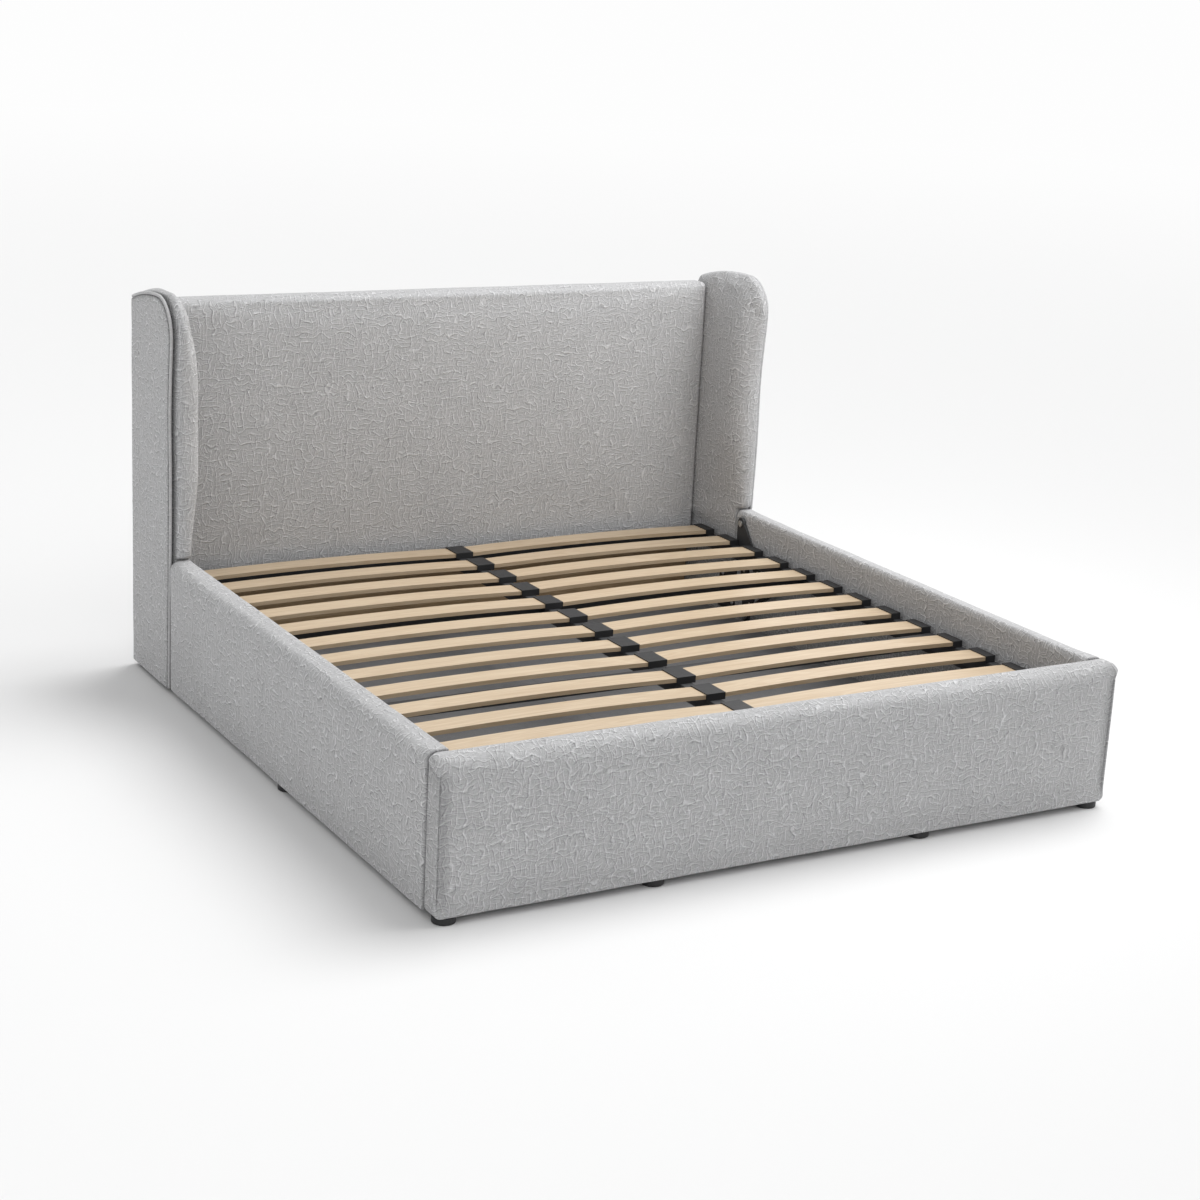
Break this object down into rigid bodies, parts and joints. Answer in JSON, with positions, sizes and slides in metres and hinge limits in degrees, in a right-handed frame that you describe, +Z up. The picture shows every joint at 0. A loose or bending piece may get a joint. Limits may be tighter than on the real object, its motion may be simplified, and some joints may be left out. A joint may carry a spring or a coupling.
{
  "type": "bed frame",
  "caption": "Upholstered wingback bed frame with padded rails and footboard, low glides, and a slatted platform that lifts from the foot on gas struts over a storage base.",
  "frame": {"origin": "floor level at the centre of the bed's footprint", "axes": "+X to the right seen from the foot, +Y from the foot towards the head, +Z up"},
  "size_m": [2.08, 2.18, 1.205],
  "materials": {
    "upholstery": "light grey woven upholstery cloth over padding",
    "back_cloth": "the same cloth stretched over a thin board",
    "timber": "plain sawn softwood and board",
    "floor_board": "grey cloth-lined fibreboard",
    "slat_wood": "clear-lacquered birch laminate",
    "black_plastic": "matt black moulded plastic",
    "webbing": "black woven webbing",
    "zinc": "bright zinc plate",
    "rod_chrome": "ground and hard-chromed",
    "cylinder_paint": "gloss black paint",
    "painted_steel": "dark grey powder coat"
  },
  "bodies": {
    "base": {"headboard_core": "timber", "headboard_cover": "upholstery", "headboard_back": "back_cloth", "wing_left_core": "timber", "wing_right_core": "timber", "wing_left_cover": "upholstery", "wing_right_cover": "upholstery", "wing_left_side_panel": "upholstery", "wing_right_side_panel": "upholstery", "wing_left_piping": "upholstery", "wing_right_piping": "upholstery", "rail_left_core": "timber", "rail_right_core": "timber", "rail_left_cover": "upholstery", "rail_right_cover": "upholstery", "footboard_core": "timber", "footboard_cover": "upholstery", "ledger_left": "painted_steel", "ledger_right": "painted_steel", "ledger_foot": "painted_steel", "foot_bracket_left": "painted_steel", "foot_bracket_right": "painted_steel", "head_plate_left": "painted_steel", "head_plate_right": "painted_steel", "floor_panel_left": "floor_board", "floor_panel_right": "floor_board", "floor_batten_left": "timber", "floor_batten_right": "timber", "centre_joist": "timber", "glides": "black_plastic", "plate_bolts": "zinc", "lift_bracket_left": "painted_steel", "lift_bracket_right": "painted_steel", "pivot_bolt_left": "zinc", "pivot_bolt_right": "zinc", "base_stud_left": "zinc", "base_stud_right": "zinc", "bracket_bolts": "zinc"},
    "platform": {"lift_arm_left": "painted_steel", "lift_arm_right": "painted_steel", "arm_stud_left": "zinc", "arm_stud_right": "zinc", "arm_bolts": "zinc", "platform_side_left": "painted_steel", "platform_side_right": "painted_steel", "platform_head_tube": "painted_steel", "platform_foot_tube": "painted_steel", "platform_centre_tube": "painted_steel", "platform_cross_tubes": "painted_steel", "tube_caps": "black_plastic", "slats": "slat_wood", "slat_holders": "black_plastic", "retainer_hoops": "painted_steel", "pull_strap": "webbing"},
    "cylinder_left": {"strut_cylinder_left": "cylinder_paint"},
    "cylinder_right": {"strut_cylinder_right": "cylinder_paint"},
    "rod_left": {"strut_rod_left": "rod_chrome"},
    "rod_right": {"strut_rod_right": "rod_chrome"}
  },
  "joints": [
    {"name": "platform_lift", "type": "hinge", "parent": "base", "child": "platform", "pos_m": [0, 0.71, 0.385], "axis": [-1, 0, 0], "range_deg": [0, 40]},
    {"name": "cylinder_left_swing", "type": "hinge", "parent": "platform", "child": "cylinder_left", "pos_m": [-0.953, 0.41987, 0.25], "axis": [-1, 0, 0], "range_deg": [-20, 0]},
    {"name": "cylinder_right_swing", "type": "hinge", "parent": "platform", "child": "cylinder_right", "pos_m": [0.953, 0.41987, 0.25], "axis": [-1, 0, 0], "range_deg": [-20, 0]},
    {"name": "rod_left_swing", "type": "hinge", "parent": "base", "child": "rod_left", "pos_m": [-0.953, 0.64868, 0.07093], "axis": [-1, 0, 0], "range_deg": [0, 20]},
    {"name": "rod_right_swing", "type": "hinge", "parent": "base", "child": "rod_right", "pos_m": [0.953, 0.64868, 0.07093], "axis": [-1, 0, 0], "range_deg": [0, 20]}
  ],
  "couplings": [
    {"joint": "cylinder_left_swing", "follows": "platform_lift", "ratio": -0.5},
    {"joint": "cylinder_right_swing", "follows": "platform_lift", "ratio": -0.5},
    {"joint": "rod_left_swing", "follows": "platform_lift", "ratio": 0.5},
    {"joint": "rod_right_swing", "follows": "platform_lift", "ratio": 0.5}
  ]
}
